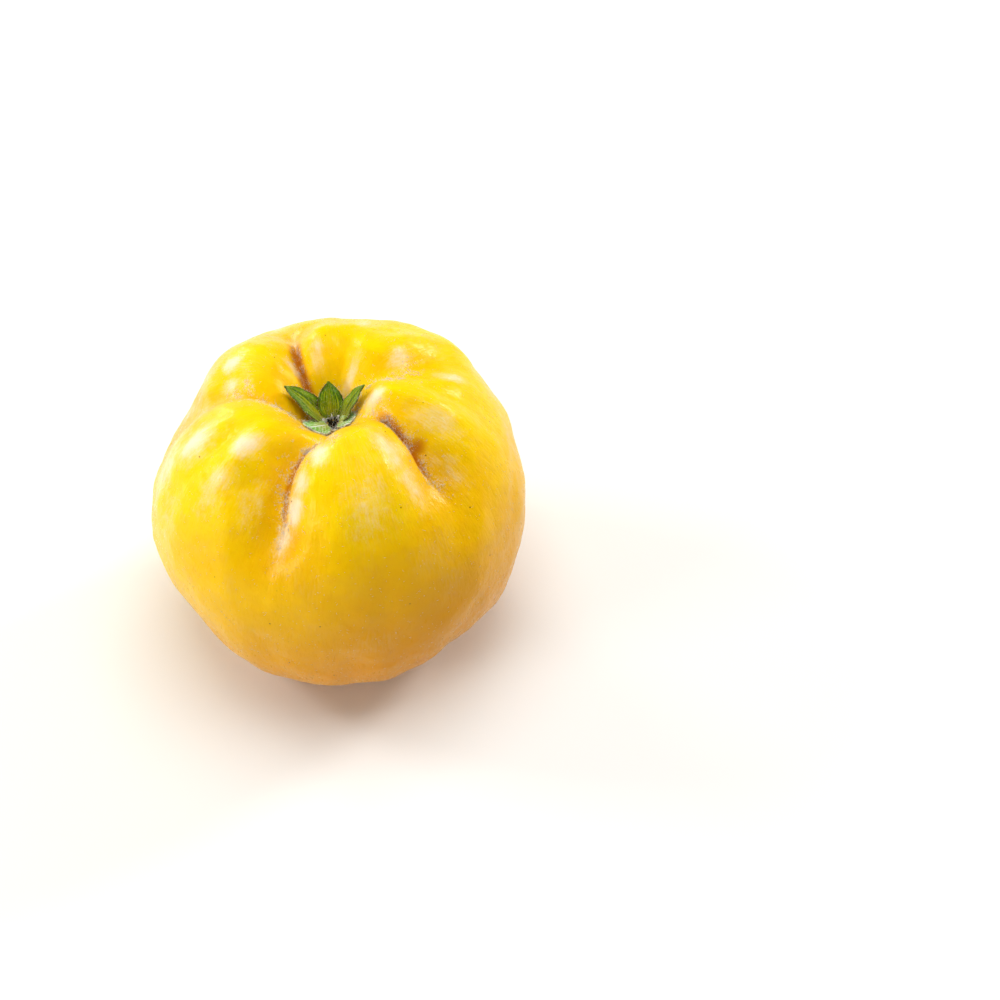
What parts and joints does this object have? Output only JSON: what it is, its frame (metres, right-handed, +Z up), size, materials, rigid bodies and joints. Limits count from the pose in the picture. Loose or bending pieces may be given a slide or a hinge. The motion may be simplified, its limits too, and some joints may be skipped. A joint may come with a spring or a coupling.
{
  "type": "quince",
  "caption": "Whole ripe quince: lumpy rounded fruit with furrows running from a deep basin that holds the dried calyx, standing on its stem end as produce or decoration.",
  "frame": {"origin": "middle of the fruit's footprint, on the surface that it stands on", "axes": "+Z up the core from the stem cavity to the calyx, -Y towards the viewer of the front"},
  "size_m": [0.0908, 0.0868, 0.0814],
  "materials": {
    "skin": "waxy yellow fruit skin, satin to glossy",
    "sepal": "matt green leaf, downy",
    "stamen": "dry brown threads",
    "stalk": "rough brown bark"
  },
  "bodies": {
    "root": {"quince_fruit": "skin", "calyx": "sepal", "stamen_tuft": "stamen", "stalk_stub": "stalk"}
  },
  "joints": []
}
